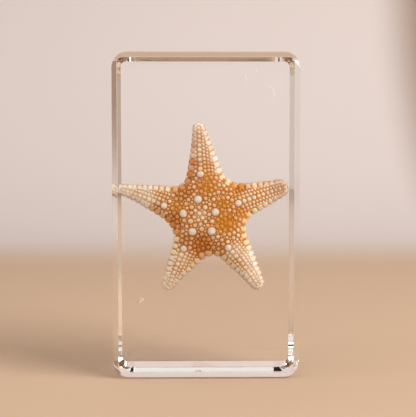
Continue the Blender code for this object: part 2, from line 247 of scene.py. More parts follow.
# Colour patches in the plane: x, z, radius and strength, full over the core's share of the radius
PATCH_CORE = 0.35
# Brown patches: partly the skin's own darker pigment, partly painted shade on the left-facing sides
# and where less light falls from above
BROWN_AND_SHADE_PATCHES = (
    (0.6, -9.0, 5.6, 1.0),
    (-9.6, -2.0, 5.6, 0.9),
    (-6.0, 8.5, 4.6, 0.7),
    (-4.2, 14.0, 3.4, 1.0),
    (-3.4, 18.8, 3.2, 1.0),
    (-5.0, -8.0, 3.4, 0.6),
    (-15.5, 1.6, 4.2, 0.6),
    (6.0, -10.0, 3.6, 0.5),
    (14.0, 11.5, 4.2, 0.9),
    (21.0, 13.5, 4.0, 0.9),
    (27.5, 11.0, 5.5, 0.55),
    (-2.8, 24.5, 2.6, 0.9),
    (-17.0, -1.0, 3.6, 0.4),
    (-1.0, 27.5, 3.6, 0.6),
)
ORANGE_PATCHES = (
    (8.8, -1.6, 5.6, 1.0),
    (7.6, 4.6, 3.6, 0.9),
    (2.2, 11.5, 5.5, 0.9),
    (13.5, 1.5, 4.0, 0.7),
    (-7.5, 3.2, 4.0, 0.8),
    (2.6, 18.0, 3.0, 0.5),
    (11.5, 9.5, 4.0, 0.5),
)
# Pale patches: partly paler tips, partly painted light and highlight on the sides turned to the light
PALE_AND_LIT_PATCHES = (
    (0.2, 1.0, 2.8, 0.6),
    (17.0, -13.5, 4.6, 1.0),
    (18.5, -19.5, 5.5, 1.0),
    (12.0, -11.5, 4.0, 0.8),
    (16.5, 6.6, 4.0, 0.3),
    (-7.0, -14.5, 4.5, 0.6),
    (-10.8, -22.0, 4.5, 0.9),
    (5.0, 20.5, 2.8, 0.9),
    (6.2, 16.4, 2.4, 0.6),
    (0.2, 24.5, 2.4, 0.5),
    (-19.0, 7.0, 5.5, 0.9),
    (-25.0, 9.5, 4.5, 1.0),
)
PALE_FROM = 15.0
PALE_TO = 31.0
PALE_AT_TIPS = 0.85
BROWN_OVER_PALE = 0.6

# Each finish of the starfish: the shares of a bead's height at which its pale top starts and
# is full, and how much paler it is all over. The pale top is partly the chalk's own colour and
# partly a painted highlight, and the oranger sides below it are partly painted shade
FINISHES = {
    "tanned_starfish_skin": (0.28, 0.9, 0.0),
    "chalky_starfish_beads": (0.28, 0.9, 0.0),
    "chalky_starfish_knobs": (0.12, 0.85, 0.75),
    "chalky_edge_plates": (0.15, 0.85, 0.0),
}

# Sizes of the patterns: the starfish's grain, coarser than the real one so that it shows, and
# its clouds of colour, the resin's wipe marks and waves, and the breaks in a hairline
GRAIN_SIZE = 0.3
CLOUD_SIZE = 4.0
WIPE_SIZE = 9.0
WAVE_SIZE = 22.0
BREAK_SIZE = 0.8


def linear(hex_colour):
    """Linear RGBA of an sRGB hex colour."""
    channels = [int(hex_colour[i:i + 2], 16) / 255 for i in (1, 3, 5)]
    return (*((c / 12.92 if c <= 0.04045 else ((c + 0.055) / 1.055) ** 2.4) for c in channels), 1.0)


class ResinSettings(bpy.types.PropertyGroup):
    corner_radius: FloatProperty(
        name="Corner radius", description="Radius of the four corners seen from the front",
        default=0.0053, unit="LENGTH")
    bevel_width: FloatProperty(
        name="Bevel width", description="Width of the flat bevel along the faces' edges",
        default=0.0019, unit="LENGTH")
    bevel_depth: FloatProperty(
        name="Bevel depth", description="How far the bevel falls to the side",
        default=0.0019, unit="LENGTH")
    crease_radius: FloatProperty(
        name="Crease radius", description="Radius of the soft line on each side of a bevel",
        default=0.00025, unit="LENGTH")
    ease_width: FloatProperty(
        name="Ease width", description="Width of the shallow slope between back face and bevel",
        default=0.0019, unit="LENGTH")
    ease_drop: FloatProperty(
        name="Ease drop", description="How far that slope falls",
        default=0.00017, unit="LENGTH")
    refraction: FloatProperty(
        name="Index of refraction", description="Polished casting resin is about 1.5",
        default=1.5, min=1.0, max=2.0)
    tint: StringProperty(
        name="Tint", description="sRGB colour that thick resin takes up", default="#F3E9DA")


class StarfishSettings(bpy.types.PropertyGroup):
    # A bead's top colours are partly its own chalk and partly a painted highlight
    bead_tan: StringProperty(
        name="Bead tan", description="sRGB colour of a bead's top on the disc", default="#FFE0A8")
    # Also laid over the pale patches, which are partly painted light
    bead_cream: StringProperty(
        name="Bead cream", description="sRGB colour of the palest beads", default="#FCF6F0")
    # Beads of the brown patches, which are partly painted shade
    bead_brown: StringProperty(
        name="Bead brown", description="sRGB colour of beads in the dark patches", default="#EC9114")
    bead_orange: StringProperty(
        name="Bead orange", description="sRGB colour of beads in the orange patches",
        default="#F4AA28")
    bead_light: StringProperty(
        name="Bead light", description="sRGB colour of the lighter beads among those",
        default="#FFF4DE")
    crevice: StringProperty(
        name="Crevice", description="sRGB colour of the skin between beads", default="#D88408")
    crevice_warm: StringProperty(
        name="Warm crevice", description="sRGB colour that clouds that skin", default="#E0900E")
    # Skin of the brown patches, which are partly painted shade
    crevice_dark: StringProperty(
        name="Dark crevice", description="sRGB colour of that skin in dark patches",
        default="#AE5B02")
    # Skin of the pale patches, which are partly painted light
    crevice_pale: StringProperty(
        name="Pale crevice", description="sRGB colour of that skin at the tips", default="#F7D6A2")
    seed: IntProperty(name="Seed", description="Start of the order of small beads", default=7, min=0)


class StudioSettings(bpy.types.PropertyGroup):
    floor_colour: StringProperty(
        name="Floor", description="sRGB colour of the floor", default="#B0957C")
    backdrop_colour: StringProperty(
        name="Backdrop", description="sRGB colour of the backdrop", default="#C2B7B3")
    camera_distance: FloatProperty(
        name="Camera distance", description="From the lens to the block's front",
        default=0.33, unit="LENGTH")
    key_power: FloatProperty(
        name="Key light", description="Power of the large soft light on the right",
        default=17.0, subtype="POWER")
    fill_power: FloatProperty(
        name="Fill light", description="Power of the soft light on the left", default=2.0,
        subtype="POWER")
    world_strength: FloatProperty(
        name="Surroundings", description="Strength of the light from all round", default=1.0)


def quadratic(values, t):
    """Values at t = 0, 0.5 and 1 joined by one smooth curve."""
    start, middle, end = (np.asarray(v, dtype=float) for v in values)
    pull = 2.0 * middle - 0.5 * (start + end)
    t = np.asarray(t, dtype=float)
    if start.ndim:
        t = t[..., None]
    return (1 - t) ** 2 * start + 2 * t * (1 - t) * pull + t ** 2 * end


def smooth_min(a, b, reach):
    share = np.clip(0.5 + 0.5 * (b - a) / reach, 0.0, 1.0)
    return b * (1 - share) + a * share - reach * share * (1 - share)


def smooth_max(a, b, reach):
    return -smooth_min(-a, -b, reach)


def smooth_step(low, high, value):
    share = np.clip((value - low) / (high - low), 0.0, 1.0)
    return share * share * (3 - 2 * share)


def distances(points, place):
    return np.hypot(points[:, 0] - place[0], points[:, 1] - place[1])


def room_beside(points, circles):
    """How far each point is from the nearest circle's rim: below zero inside one."""
    room = np.full(len(points), np.inf)
    for x, z, radius in circles:
        room = np.minimum(room, distances(points, (x, z)) - radius)
    return room


def outline_distance(points):
    """Signed distance to the outline: below zero inside the starfish."""
    result = room_beside(points, [(*DISC_CENTRE, DISC_RADIUS)])
    steps = np.linspace(0.0, 1.0, ARM_STEPS)
    for arm in ARMS.values():
        widths = quadratic(arm["half_widths"], steps)
        circles = np.column_stack([quadratic(arm["centre"], steps), widths])
        result = smooth_min(result, room_beside(points, circles), NOTCH_BLEND)
    return result


def dome(share):
    """Height of a round cross-section at this share of the way in from its edge."""
    share = np.clip(share, 0.0, 1.0)
    return np.sqrt(1.0 - (1.0 - share) ** 2)


def body_height(points):
    """Front of the body: the disc's dome blended into five ridges."""
    share = 1.0 - distances(points, DISC_CENTRE) / DISC_CREST_RADIUS
    height = FRONT_EDGE + (DISC_CREST - FRONT_EDGE) * dome(share)
    steps = np.linspace(0.0, 1.0, ARM_STEPS)
    for arm in ARMS.values():
        widths = quadratic(arm["half_widths"], steps)
        crests = quadratic(ARM_CRESTS, steps)
        ridge = np.full(len(points), FRONT_EDGE)
        for place, width, crest in zip(quadratic(arm["centre"], steps), widths, crests):
            share = 1.0 - distances(points, place) / width
            ridge = np.maximum(ridge, FRONT_EDGE + (crest - FRONT_EDGE) * dome(share))
        height = smooth_max(height, ridge, CREST_BLEND)
    return height


def groove_lines(pitch):
    """The five grooves' middle lines, from the mouth to just short of each tip."""
    steps = np.linspace(0.0, GROOVE_END, ARM_STEPS)
    return [
        walk(np.vstack([DISC_CENTRE, quadratic(arm["centre"], steps)]), pitch)
        for arm in ARMS.values()
    ]


def back_depth(points):
    """Back of the body: nearly flat, with a groove along each arm that runs to the mouth."""
    inside = np.clip(-outline_distance(points) / BACK_RISE_WIDTH, 0.0, 1.0)
    depth = BACK_EDGE + (BACK_MIDDLE - BACK_EDGE) * dome(inside)
    groove = np.zeros(len(points))
    for place in np.vstack(groove_lines(GROOVE_STEP)):
        share = distances(points, place) / GROOVE_HALF_WIDTH
        groove = np.maximum(groove, GROOVE_DEPTH * np.clip(1.0 - share ** 2, 0.0, 1.0))
    share = distances(points, DISC_CENTRE) / MOUTH_RADIUS
    mouth = MOUTH_DEPTH * np.clip(1.0 - share ** 2, 0.0, 1.0)
    return depth - np.maximum(groove, mouth)


def walk(points, pitch):
    """Points at an even pitch along a line through the given ones."""
    points = np.asarray(points, dtype=float)
    lengths = np.hypot(*np.diff(points, axis=0).T)
    travelled = np.concatenate(([0.0], np.cumsum(lengths)))
    count = max(1, round(travelled[-1] / pitch))
    stops = np.linspace(0.0, travelled[-1], count + 1)
    return np.stack([np.interp(stops, travelled, axis) for axis in points.T], axis=1)


def fine_outline(offset):
    """The closed outline at an offset, found along rays from the disc's middle."""
    angles = np.linspace(0.0, 2 * math.pi, OUTLINE_RAYS, endpoint=False)
    rays = np.stack([np.cos(angles), np.sin(angles)], axis=1)
    near = np.zeros(len(rays))
    far = np.full(len(rays), OUTLINE_REACH)
    for _ in range(RAY_HALVINGS):
        middle = 0.5 * (near + far)
        inside = outline_distance(DISC_CENTRE + rays * middle[:, None]) < offset
        near = np.where(inside, middle, near)
        far = np.where(inside, far, middle)
    return DISC_CENTRE + rays * near[:, None]


def unit(vectors):
    return vectors / np.linalg.norm(vectors, axis=-1, keepdims=True)


def across_line(line):
    """Directions square to a line, at each of its points."""
    along = unit(np.gradient(line, axis=0))
    return np.stack([-along[:, 1], along[:, 0]], axis=1)


def grid_points(spacing):
    rise = spacing * math.sqrt(3) / 2
    columns = int(OUTLINE_REACH / spacing)
    i, j = np.meshgrid(np.arange(-columns, columns + 1), np.arange(-columns, columns + 1))
    x = DISC_CENTRE[0] + spacing * (i + 0.5 * (j % 2))
    z = DISC_CENTRE[1] + rise * j
    return np.stack([x.ravel(), z.ravel()], axis=1)


def surface(points, side):
    """Places and outward directions on the front (1) or the back (-1), as x, z and height."""
    height = body_height if side > 0 else back_depth
    middle = height(points)
    slopes = []
    for step in ((SLOPE_STEP, 0.0), (0.0, SLOPE_STEP)):
        slopes.append((height(points + step) - height(points - np.array(step))) / (2 * SLOPE_STEP))
    places = np.column_stack([points, side * middle])
    outward = unit(np.column_stack([-slopes[0], -slopes[1], np.full(len(points), float(side))]))
    return places, outward


def in_block(places):
    """x, z and height in the starfish's plane, in millimetres, to the block's metres."""
    places = np.asarray(places, dtype=float)
    x = STAR_X + places[:, 0]
    y = STAR_Y - places[:, 2]
    z = STAR_Z + places[:, 1]
    return np.stack([x, y, z], axis=1) * MM


def patch_share(patches, points):
    """How strongly each point lies in any of the patches, from 0 to 1."""
    share = np.zeros(len(points))
    for x, z, radius, strength in patches:
        fade = smooth_step(PATCH_CORE, 1.0, distances(points, (x, z)) / radius)
        share = np.maximum(share, strength * (1 - fade))
    return share


def add_colour_fields(data, planar, rise, tint):
    """Stores what the starfish's materials read at each vertex."""
    far_out = smooth_step(PALE_FROM, PALE_TO, distances(planar, DISC_CENTRE))
    # Brown share: partly pigment, partly painted shade
    brown = patch_share(BROWN_AND_SHADE_PATCHES, planar)
    # Pale share: paler towards the tips, and partly painted light from the pale patches
    pale = np.maximum(PALE_AT_TIPS * far_out, patch_share(PALE_AND_LIT_PATCHES, planar))
    fields = {
        "rise": rise,
        "tint": tint,
        "pale": pale * (1 - BROWN_OVER_PALE * brown),
        "brown": brown,
        "orange": patch_share(ORANGE_PATCHES, planar),
    }
    for name, values in fields.items():
        field = data.attributes.new(name, "FLOAT", "POINT")
        field.data.foreach_set("value", np.asarray(values, dtype=np.float32))


def triangle_mesh(name, corners, triangles):
    """A mesh from arrays of corners, in metres, and triangles."""
    data = bpy.data.meshes.new(name)
    triangles = np.asarray(triangles, dtype=np.int32)
    data.vertices.add(len(corners))
    data.vertices.foreach_set("co", np.asarray(corners, dtype=np.float32).ravel())
    data.loops.add(triangles.size)
    data.loops.foreach_set("vertex_index", triangles.ravel())
    data.polygons.add(len(triangles))
    data.polygons.foreach_set("loop_start", np.arange(0, triangles.size, 3, dtype=np.int32))
    data.update(calc_edges=True)
    data.validate()
    data.shade_smooth()
    return data


def add_piece(name, data, material, replaced=()):
    """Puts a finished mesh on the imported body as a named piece."""
    piece = bpy.data.objects.new(name, data)
    bpy.context.scene.collection.objects.link(piece)
    data.materials.append(material)
    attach(piece, BODY)
    if replaced:
        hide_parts(*replaced)


def form_arrays(mesh):
    """Corners and triangles of a form, whose mesh is then freed."""
    corners = np.array([v.co for v in mesh.verts])
    triangles = np.array([[v.index for v in f.verts] for f in mesh.faces])
    mesh.free()
    return corners, triangles


def ball_form(subdivisions, squareness=2.0):
    """Corners and triangles of a unit ball whose sides and top are flattened by the power."""
    mesh = bmesh.new()
    bmesh.ops.create_icosphere(mesh, subdivisions=subdivisions, radius=1.0)
    corners, triangles = form_arrays(mesh)
    flat = np.hypot(corners[:, 0], corners[:, 1])
    size = (flat ** squareness + np.abs(corners[:, 2]) ** squareness) ** (1 / squareness)
    return corners / size[:, None], triangles


def block_form(cuts, squareness):
    """Corners and triangles of a rounded block of half size 1."""
    mesh = bmesh.new()
    bmesh.ops.create_cube(mesh, size=2.0)
    bmesh.ops.subdivide_edges(mesh, edges=mesh.edges[:], cuts=cuts, use_grid_fill=True)
    bmesh.ops.triangulate(mesh, faces=mesh.faces[:])
    corners, triangles = form_arrays(mesh)
    corners = unit(corners)
    size = (np.abs(corners) ** squareness).sum(axis=1) ** (1 / squareness)
    return corners / size[:, None], triangles


def stamp(name, form, places, outward, along, sizes, tints):
    """Joined copies of a form, each with half sizes along, across and outward."""
    corners, triangles = form
    along = along - outward * (along * outward).sum(axis=1, keepdims=True)
    along = unit(along)
    across = np.cross(outward, along)
    scaled = corners[None, :, :] * np.asarray(sizes)[:, None, :]
    grown = (
        places[:, None, :]
        + scaled[:, :, 0:1] * along[:, None, :]
        + scaled[:, :, 1:2] * across[:, None, :]
        + scaled[:, :, 2:3] * outward[:, None, :]
    )
    count = len(places)
    offsets = np.arange(count)[:, None, None] * len(corners)
    faces = (triangles[None, :, :] + offsets).reshape(-1, 3)
    data = triangle_mesh(name, in_block(grown.reshape(-1, 3)), faces)
    # Height share on each form, by which the material paints the top pale, partly as a painted
    # highlight
    rise = np.tile(np.clip(corners[:, 2], 0.0, 1.0), count)
    planar = np.repeat(places[:, :2], len(corners), axis=0)
    add_colour_fields(data, planar, rise, np.repeat(tints, len(corners)))
    return data


def crest_line(arm):
    return quadratic(arm["crest"], np.linspace(0.0, 1.0, ARM_STEPS))


def nearness_to_tip(points):
    return smooth_step(TIP_FROM, TIP_TO, distances(points, DISC_CENTRE))


def nearness_to_end(points):
    """1 on the rounded end of an arm, 0 away from it."""
    ends = [(*arm["crest"][-1], 0.0) for arm in ARMS.values()]
    return 1.0 - smooth_step(END_REACH / 2, END_REACH, room_beside(points, ends))


def edge_band(points):
    """Width kept for the edge plates, which are smaller at the tips and least on their ends."""
    share = nearness_to_tip(points)
    band = EDGE_BAND_AT_NOTCH + (EDGE_BAND_AT_TIP - EDGE_BAND_AT_NOTCH) * share
    return band * (1.0 - END_SHRINK * nearness_to_end(points))


class BeadPlan:
    """Places and radii of the beads on one face, kept from crowding each other."""

    def __init__(self):
        self.rows = []

    def add(self, place, radius, gap):
        if room_beside(np.array([place]), self.rows)[0] >= radius + gap:
            self.rows.append((*place, radius))

    def fill(self, candidates, room, radii, gap, rng):
        """Sets beads, largest first, each in the tightest place that takes it."""
        scale = 1.0 - (1.0 - TIP_BEAD_SHARE) * nearness_to_tip(candidates)
        room = np.minimum(room, room_beside(candidates, self.rows))
        for radius in radii:
            while True:
                needed = radius * scale + gap
                fits = np.flatnonzero(room >= needed)
                if not len(fits):
                    break
                tightness = (room - needed)[fits] + rng.uniform(0.0, FILL_LOOSENESS, len(fits))
                pick = fits[np.argmin(tightness)]
                size = radius * scale[pick] * rng.uniform(*FILL_SPREAD)
                self.rows.append((*candidates[pick], size))
                room = np.minimum(room, distances(candidates, candidates[pick]) - size)


def plan_rows(plan):
    """The crest of each arm, then the rows of beads beside it."""
    for arm in ARMS.values():
        line = walk(crest_line(arm), ROW_STEP)
        across = across_line(line)
        lines = [(0.0, CREST_BEAD_RADIUS)]
        for offset, radius in ROWS:
            lines += [(offset, radius), (-offset, radius)]
        for offset, radius in lines:
            shares = np.linspace(1.0, CREST_TIP_SHARE, len(line))
            row = line + across * (offset * shares)[:, None]
            depths = -outline_distance(row) - edge_band(row)
            for place, share, depth in zip(row, shares, depths):
                if depth > ROW_MARGIN:
                    plan.add(place, radius * share, ROW_GAP * share)


def plan_front(seed):
    """All beads of the front: the knobs, then the lumps and rows, then the filling."""
    plan = BeadPlan()
    for arm in ARMS.values():
        plan.rows.append((*arm["ring_knob"], RING_KNOB_RADIUS))
        plan.rows.append((*arm["crest"][0], ARM_KNOB_RADIUS))
    knob_count = len(plan.rows)
    plan.rows += DISC_LUMPS
    plan_rows(plan)
    row_count = len(plan.rows)
    candidates = grid_points(FILL_GRID)
    depth = -outline_distance(candidates) - edge_band(candidates)
    candidates, depth = candidates[depth > 0.0], depth[depth > 0.0]
    rng = np.random.default_rng(seed)
    candidates = candidates + rng.uniform(-FILL_JITTER, FILL_JITTER, candidates.shape)
    plan.fill(candidates, depth + FILL_OVER_PLATES, FILL_RADII, FILL_GAP, rng)
    rows = np.array(plan.rows)
    return rows[:knob_count], rows[knob_count:row_count], rows[row_count:]


def plan_back(rng):
    """Beads of the underside, clear of its grooves, its mouth and its rim."""
    candidates = grid_points(FILL_GRID)
    depth = -outline_distance(candidates)
    candidates, depth = candidates[depth > BACK_RIM], depth[depth > BACK_RIM]
    hollows = [(x, z, GROOVE_HALF_WIDTH) for x, z in np.vstack(groove_lines(GROOVE_STEP))]
    hollows.append((*DISC_CENTRE, MOUTH_RADIUS))
    room = np.minimum(depth - BACK_RIM_OVERLAP, room_beside(candidates, hollows))
    plan = BeadPlan()
    plan.fill(candidates, room, BACK_BEAD_RADII, FILL_GAP, rng)
    return np.array(plan.rows)


def spine_mesh(name, rng):
    """Short spines along both banks of each groove, leaning over it."""
    lean = math.radians(SPINE_LEAN)
    places, facing = [], []
    for line in groove_lines(SPINE_PITCH):
        across = across_line(line)[SPINE_SKIPPED:]
        for side in (-1, 1):
            feet = line[SPINE_SKIPPED:] + across * side * (GROOVE_HALF_WIDTH + SPINE_FOOT)
            spots, outward = surface(feet, -1)
            inward = np.column_stack([-side * across, np.zeros(len(feet))])
            places.append(spots)
            facing.append(unit(outward * math.cos(lean) + inward * math.sin(lean)))
    places, facing = np.vstack(places), np.vstack(facing)
    count = len(places)
    sizes = np.column_stack([
        np.full(count, SPINE_RADIUS), np.full(count, SPINE_RADIUS),
        SPINE_LENGTH * rng.uniform(*SPINE_SPREAD, count)])
    form = ball_form(*SPINE_FORM)
    along = np.tile(SPINE_TURN, (count, 1))
    return stamp(name, form, places, facing, along, sizes, rng.uniform(0.0, 1.0, count))


def bead_mesh(name, rows, side, rng):
    """Beads of one kind set on the front or the back."""
    kind = BEADS[name]
    places, outward = surface(rows[:, :2], side)
    places = places - outward * kind["sink"]
    along = np.tile(BEAD_TURN, (len(rows), 1))
    radii = rows[:, 2]
    sizes = np.stack([
        radii * rng.uniform(*BEAD_SPREAD, len(rows)),
        radii * rng.uniform(*BEAD_SPREAD, len(rows)),
        radii * kind["tallness"],
    ], axis=1)
    form = ball_form(*kind["form"])
    return stamp(name, form, places, outward, along, sizes, rng.uniform(0.0, 1.0, len(rows)))


def edge_stations():
    """Middles of the edge plates: place, direction along the edge, outward direction, pitch."""
    ring = fine_outline(0.0)
    closed = np.vstack([ring, ring[:1]])
    lengths = np.hypot(*np.diff(closed, axis=0).T)
    pitch = PLATE_PITCH_AT_NOTCH + (PLATE_PITCH_AT_TIP - PLATE_PITCH_AT_NOTCH) * nearness_to_tip(ring)
    counted = np.concatenate(([0.0], np.cumsum(lengths / pitch)))
    count = round(counted[-1])
    stops = (np.arange(count) + 0.5) * counted[-1] / count
    places, before, after = (
        np.stack([np.interp(stops + step, counted, axis) for axis in closed.T], axis=1)
        for step in (0.0, -STATION_STEP, STATION_STEP)
    )
    along = unit(after - before)
    outward = np.stack([along[:, 1], -along[:, 0]], axis=1)
    pitches = np.interp(stops, counted, np.append(pitch, pitch[0])) * counted[-1] / count
    return places, along, outward, pitches


def plate_mesh(name, kind, rng):
    """One row of plates round the edge: the upper one leans over the rim, the lower one stands."""
    places, along, outward, pitches = edge_stations()
    count = len(places)
    lean = math.radians(kind["lean"])
    on_end = 1.0 - END_SHRINK * nearness_to_end(places)
    shrink = (1.0 - TIP_SHRINK * nearness_to_tip(places)) * on_end
    sink = UPPER_PLATE["sink"] + NOTCH_SINK * (1.0 - nearness_to_tip(places))
    rim = body_height(places - outward * UPPER_PLATE["inset"]) - sink
    if kind is UPPER_PLATE:
        height, reach = rim, kind["reach"] * shrink
    else:
        top = rim - kind["overlap"] * shrink
        height, reach = (top - kind["foot"]) / 2, (top + kind["foot"]) / 2
    inset = places - outward * kind["inset"] * on_end[:, None]
    centres = np.column_stack([inset, height])
    flat = np.column_stack([outward, np.zeros(count)])
    up = np.tile((0.0, 0.0, 1.0), (count, 1))
    facing = unit(flat * math.sin(lean) + up * math.cos(lean))
    edge = np.column_stack([along, np.zeros(count)])
    sizes = np.stack([
        pitches / 2 - PLATE_GAP,
        reach * rng.uniform(*PLATE_REACH_SPREAD, count),
        kind["thickness"] * shrink * rng.uniform(*PLATE_THICKNESS_SPREAD, count),
    ], axis=1)
    form = block_form(*PLATE_FORM)
    return stamp(name, form, centres, facing, edge, sizes, rng.uniform(0.0, 1.0, count))


def fill_inputs(tree, node, inputs):
    """Gives each input its plain value, or links it to a socket."""
    for name, value in inputs.items():
        if isinstance(value, bpy.types.NodeSocket):
            tree.links.new(value, node.inputs[name])
        else:
            node.inputs[name].default_value = value


def add_node(tree, kind, inputs=None, **settings):
    """One node with its settings, plain values and links."""
    node = tree.nodes.new(kind)
    for name, value in settings.items():
        setattr(node, name, value)
    fill_inputs(tree, node, inputs or {})
    return node


def new_material(name):
    """A material's tree, its shader and the place that its patterns are read at."""
    material = bpy.data.materials.new(name)
    material.use_nodes = True
    tree = material.node_tree
    place = add_node(tree, "ShaderNodeTexCoord").outputs["Object"]
    return material, tree, tree.nodes["Principled BSDF"], place


def layered(tree, colour, layers):
    """A colour with others laid over it in turn, each by its share."""
    for share, over in layers:
        mix = add_node(tree, "ShaderNodeMix", {0: share, 6: colour, 7: over}, data_type="RGBA")
        colour = mix.outputs[2]
    return colour


def starfish_material(name, settings):
    """Dried starfish, chalky plates over tanned skin.

    To the eye it is matt and slightly waxy, cream on each bead's top and orange in between,
    with a fine grain that softens the highlights. The cream tops are partly a painted highlight
    and the oranger bead sides partly painted shade.
    """
    rise_from, rise_to, paleness = FINISHES[name]
    material, tree, shader, place = new_material(name)
    field = {
        key: add_node(tree, "ShaderNodeAttribute", attribute_name=key).outputs["Fac"]
        for key in ("rise", "tint", "pale", "brown", "orange")
    }
    grain = add_node(tree, "ShaderNodeTexNoise", {
        "Vector": place, "Scale": 1 / (GRAIN_SIZE * MM), "Detail": 3.0, "Roughness": 0.6})
    cloud = add_node(tree, "ShaderNodeTexNoise", {
        "Vector": place, "Scale": 1 / (CLOUD_SIZE * MM), "Detail": 2.0})
    cream = linear(settings.bead_cream)
    top = layered(tree, linear(settings.bead_tan), (
        (field["tint"], linear(settings.bead_light)),
        (field["orange"], linear(settings.bead_orange)),
        # Brown patches: partly pigment, partly painted shade
        (field["brown"], linear(settings.bead_brown)),
        # Pale patches: partly the chalk's own colour, partly painted light
        (field["pale"], cream),
        (paleness, cream),
    ))
    base = layered(tree, linear(settings.crevice), (
        (cloud.outputs["Fac"], linear(settings.crevice_warm)),
        # Brown patches: partly pigment, partly painted shade
        (field["brown"], linear(settings.crevice_dark)),
        # Pale patches: partly the skin's own colour, partly painted light
        (field["pale"], linear(settings.crevice_pale)),
    ))
    # Cream towards each bead's top: partly the chalk's own colour, partly a painted highlight, with
    # painted shade on the lower sides
    lifted = add_node(tree, "ShaderNodeMapRange", {
        "Value": field["rise"], "From Min": rise_from, "From Max": rise_to},
        interpolation_type="SMOOTHSTEP")
    colour = layered(tree, base, ((lifted.outputs["Result"], top),))
    speck = add_node(tree, "ShaderNodeMapRange", {
        "Value": grain.outputs["Fac"],
        "From Min": 0.35, "From Max": 0.7, "To Min": 0.9, "To Max": 1.06})
    toned = add_node(tree, "ShaderNodeVectorMath", {
        0: colour, "Scale": speck.outputs["Result"]}, operation="SCALE")
    rough = add_node(tree, "ShaderNodeMapRange", {
        "Value": grain.outputs["Fac"], "To Min": 0.5, "To Max": 0.75})
    bump = add_node(tree, "ShaderNodeBump", {
        "Height": grain.outputs["Fac"], "Strength": 0.35, "Distance": 0.06 * MM})
    fill_inputs(tree, shader, {
        "Base Color": toned.outputs["Vector"],
        "Roughness": rough.outputs["Result"],
        "Normal": bump.outputs["Normal"],
        "IOR": 1.5,
        "Specular IOR Level": 0.2,
    })
    return material


def starfish_finish(name):
    """One of the starfish's materials, made the first time that it is asked for."""
    found = bpy.data.materials.get(name)
    return found or starfish_material(name, bpy.context.scene.starfish_settings)


def rounded_rectangle(inset, settings):
    """The block's outline drawn in by an inset, with its outward directions."""
    size = (BLOCK_HIGH - BLOCK_LOW) / 2
    radius = max(settings.corner_radius - CORNER_TIGHTENING * inset, SHARPEST_CORNER * MM)
    points, normals = [], []
    for quarter, (sx, sz) in enumerate(((1, 1), (-1, 1), (-1, -1), (1, -1))):
        for step in range(CORNER_STEPS + 1):
            angle = math.radians(90) * (quarter + step / CORNER_STEPS)
            normal = (math.cos(angle), math.sin(angle))
            x = sx * (size.x - inset - radius) + radius * normal[0]
            z = sz * (size.z - inset - radius) + radius * normal[1]
            points.append((BLOCK_MIDDLE.x + x, BLOCK_MIDDLE.z + z))
            normals.append(normal)
    return points, normals


def edge_profile(settings, ease_width, ease_drop):
    """Inset, depth and slope angle from a face to the side, over an ease, if any, and a bevel."""
    width, depth, radius = settings.bevel_width, settings.bevel_depth, settings.crease_radius
    creases = [(width, ease_drop), (0.0, ease_drop + depth)]
    slopes = [math.atan2(ease_drop, ease_width), math.atan2(depth, width), math.radians(90)]
    if ease_width:
        creases.insert(0, (width + ease_width, 0.0))
        slopes.insert(0, 0.0)
    profile = []
    for (inset, depth), start, end in zip(creases, slopes, slopes[1:]):
        reach = radius * math.tan((end - start) / 2)
        inset += reach * math.cos(start)
        depth -= reach * math.sin(start)
        for step in range(CREASE_STEPS + 1):
            angle = start + (end - start) * step / CREASE_STEPS
            profile.append((
                inset - radius * (math.sin(angle) - math.sin(start)),
                depth + radius * (math.cos(start) - math.cos(angle)),
                angle))
    return profile


def bevel_share(side, outward_x):
    """Depth of a bevel as a share of the others': the front's right one is shallower."""
    if side > 0:
        return 1.0
    return 1.0 - (1.0 - RIGHT_BEVEL_SHARE) * max(outward_x, 0.0)


def resin_shell(settings):
    """Corners, faces and corner normals of the clear block."""
    front = edge_profile(settings, 0.0, 0.0)
    back = edge_profile(settings, settings.ease_width, settings.ease_drop)
    levels = [(inset, BLOCK_LOW.y + depth, -1, angle) for inset, depth, angle in front]
    levels += [(inset, BLOCK_HIGH.y - depth, 1, angle) for inset, depth, angle in back[::-1]]
    corners, normals = [], []
    for inset, y, side, angle in levels:
        points, outward = rounded_rectangle(inset, settings)
        for (x, z), (nx, nz) in zip(points, outward):
            share = bevel_share(side, nx)
            tilt = math.atan2(share * math.sin(angle), math.cos(angle))
            steeper = CORNER_TIGHTENING - (CORNER_TIGHTENING - 1) * (abs(nx) + abs(nz))
            normal = Vector((nx * math.sin(tilt), side * math.cos(tilt) * steeper,
                             nz * math.sin(tilt)))
            corners.append((x, BLOCK_LOW.y + (y - BLOCK_LOW.y) * share, z))
            normals.append(tuple(normal.normalized()))
    around = 4 * (CORNER_STEPS + 1)
    last = (len(levels) - 1) * around
    faces = []
    for near in range(0, last, around):
        for i in range(around):
            j = (i + 1) % around
            faces.append([near + i, near + around + i, near + around + j, near + j])
    face_normals = [[normals[k] for k in face] for face in faces]
    faces += [list(range(around)), list(range(last, last + around))[::-1]]
    face_normals += [[(0.0, -1.0, 0.0)] * around, [(0.0, 1.0, 0.0)] * around]
    return corners, faces, face_normals


# Air bubbles left in the resin: x, y and z from the base's middle, and radius
BUBBLE_DETAIL = 3
BUBBLES = (
    (-23.0, -9.0, 25.6, 0.22),
    (-7.4, -10.0, 11.3, 0.2),
    (-16.6, -8.5, 14.0, 0.17),
    (17.5, -6.0, 31.0, 0.15),
    (9.0, 3.0, 96.0, 0.16),
    (-19.0, 5.0, 88.0, 0.14),
    (22.0, -10.5, 64.0, 0.13),
    (-24.5, 2.0, 58.0, 0.15),
)

# Colour of the resin's faces, and how strongly a metre of it takes up its tint
RESIN_CLEAR = "#FFFFFF"
RESIN_DENSITY = 3.0

